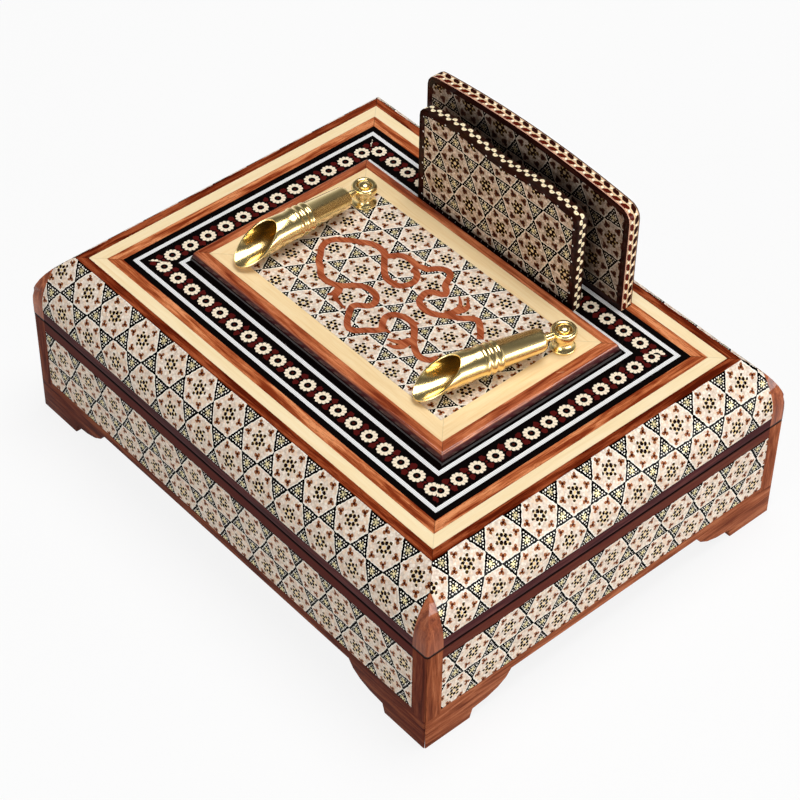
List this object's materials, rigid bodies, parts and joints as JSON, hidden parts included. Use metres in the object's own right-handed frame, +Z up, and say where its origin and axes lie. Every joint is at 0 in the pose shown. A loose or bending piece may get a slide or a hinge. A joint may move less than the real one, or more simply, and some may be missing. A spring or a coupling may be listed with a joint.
{
  "type": "desk box with pen holders",
  "caption": "Low wooden marquetry box with a hinged cushion lid that carries a card rack and swivelling brass pen tubes, for holding pens and letters on a desk.",
  "frame": {"origin": "on the floor, under the middle of the bounding box", "axes": "+X along the long side, -Y towards the side that the pen tubes point at, +Y towards the rack and the lid hinges, +Z up"},
  "size_m": [0.25, 0.1978, 0.1409],
  "materials": {
    "carcase_wood": "glossy lacquer",
    "strip_wood": "glossy lacquer",
    "orange_wood": "glossy lacquer",
    "maple": "glossy lacquer",
    "khatam": "glossy lacquer over marquetry",
    "black_ground": "glossy lacquer",
    "silver_line": "glossy lacquer",
    "plain_wood": "plain",
    "checked_edging": "glossy lacquer",
    "hinge_brass": "plain",
    "polished_brass": "polished"
  },
  "bodies": {
    "box": {"back_board": "carcase_wood", "back_khatam": "khatam", "bottom_panel": "plain_wood", "front_board": "carcase_wood", "front_khatam": "khatam", "left_board": "carcase_wood", "left_hinge_box_leaf": "hinge_brass", "left_hinge_pin": "hinge_brass", "left_hinge_screw_1_box": "hinge_brass", "left_hinge_screw_2_box": "hinge_brass", "left_khatam": "khatam", "right_board": "carcase_wood", "right_hinge_box_leaf": "hinge_brass", "right_hinge_pin": "hinge_brass", "right_hinge_screw_1_box": "hinge_brass", "right_hinge_screw_2_box": "hinge_brass", "right_khatam": "khatam"},
    "lid": {"arabesque_inlay": "orange_wood", "corner_leaf_back_left": "orange_wood", "corner_leaf_back_right": "orange_wood", "corner_leaf_front_left": "orange_wood", "corner_leaf_front_right": "orange_wood", "flower_border": "black_ground", "front_rack_board": "strip_wood", "front_rack_edging": "checked_edging", "front_rack_khatam": "khatam", "inner_silver_line": "silver_line", "left_hinge_lid_leaf": "hinge_brass", "left_hinge_screw_1_lid": "hinge_brass", "left_hinge_screw_2_lid": "hinge_brass", "left_pen_pedestal": "polished_brass", "left_pen_screw": "polished_brass", "lid_back_khatam": "khatam", "lid_back_rail": "strip_wood", "lid_front_khatam": "khatam", "lid_front_rail": "strip_wood", "lid_left_khatam": "khatam", "lid_left_rail": "strip_wood", "lid_right_khatam": "khatam", "lid_right_rail": "strip_wood", "lid_top_board": "plain_wood", "maple_border": "maple", "orange_border": "orange_wood", "outer_silver_line": "silver_line", "raised_panel": "orange_wood", "raised_panel_khatam": "khatam", "raised_panel_maple": "maple", "rear_rack_back_khatam": "khatam", "rear_rack_board": "strip_wood", "rear_rack_edging": "checked_edging", "rear_rack_khatam": "khatam", "right_hinge_lid_leaf": "hinge_brass", "right_hinge_screw_1_lid": "hinge_brass", "right_hinge_screw_2_lid": "hinge_brass", "right_pen_pedestal": "polished_brass", "right_pen_screw": "polished_brass", "rosewood_border": "carcase_wood"},
    "left_pen": {"left_pen_tube": "polished_brass"},
    "right_pen": {"right_pen_tube": "polished_brass"}
  },
  "joints": [
    {"name": "lid_hinge", "type": "hinge", "parent": "box", "child": "lid", "pos_m": [0, 0.0968, 0.054], "axis": [-1, 0, 0], "range_deg": [0, 95]},
    {"name": "left_pen_swivel", "type": "hinge", "parent": "lid", "child": "left_pen", "pos_m": [-0.0547, 0.0247, 0.09945], "axis": [0, 0, 1], "range_deg": [-150, 45]},
    {"name": "right_pen_swivel", "type": "hinge", "parent": "lid", "child": "right_pen", "pos_m": [0.0632, 0.0269, 0.09945], "axis": [0, 0, 1], "range_deg": [-32, 175]}
  ]
}
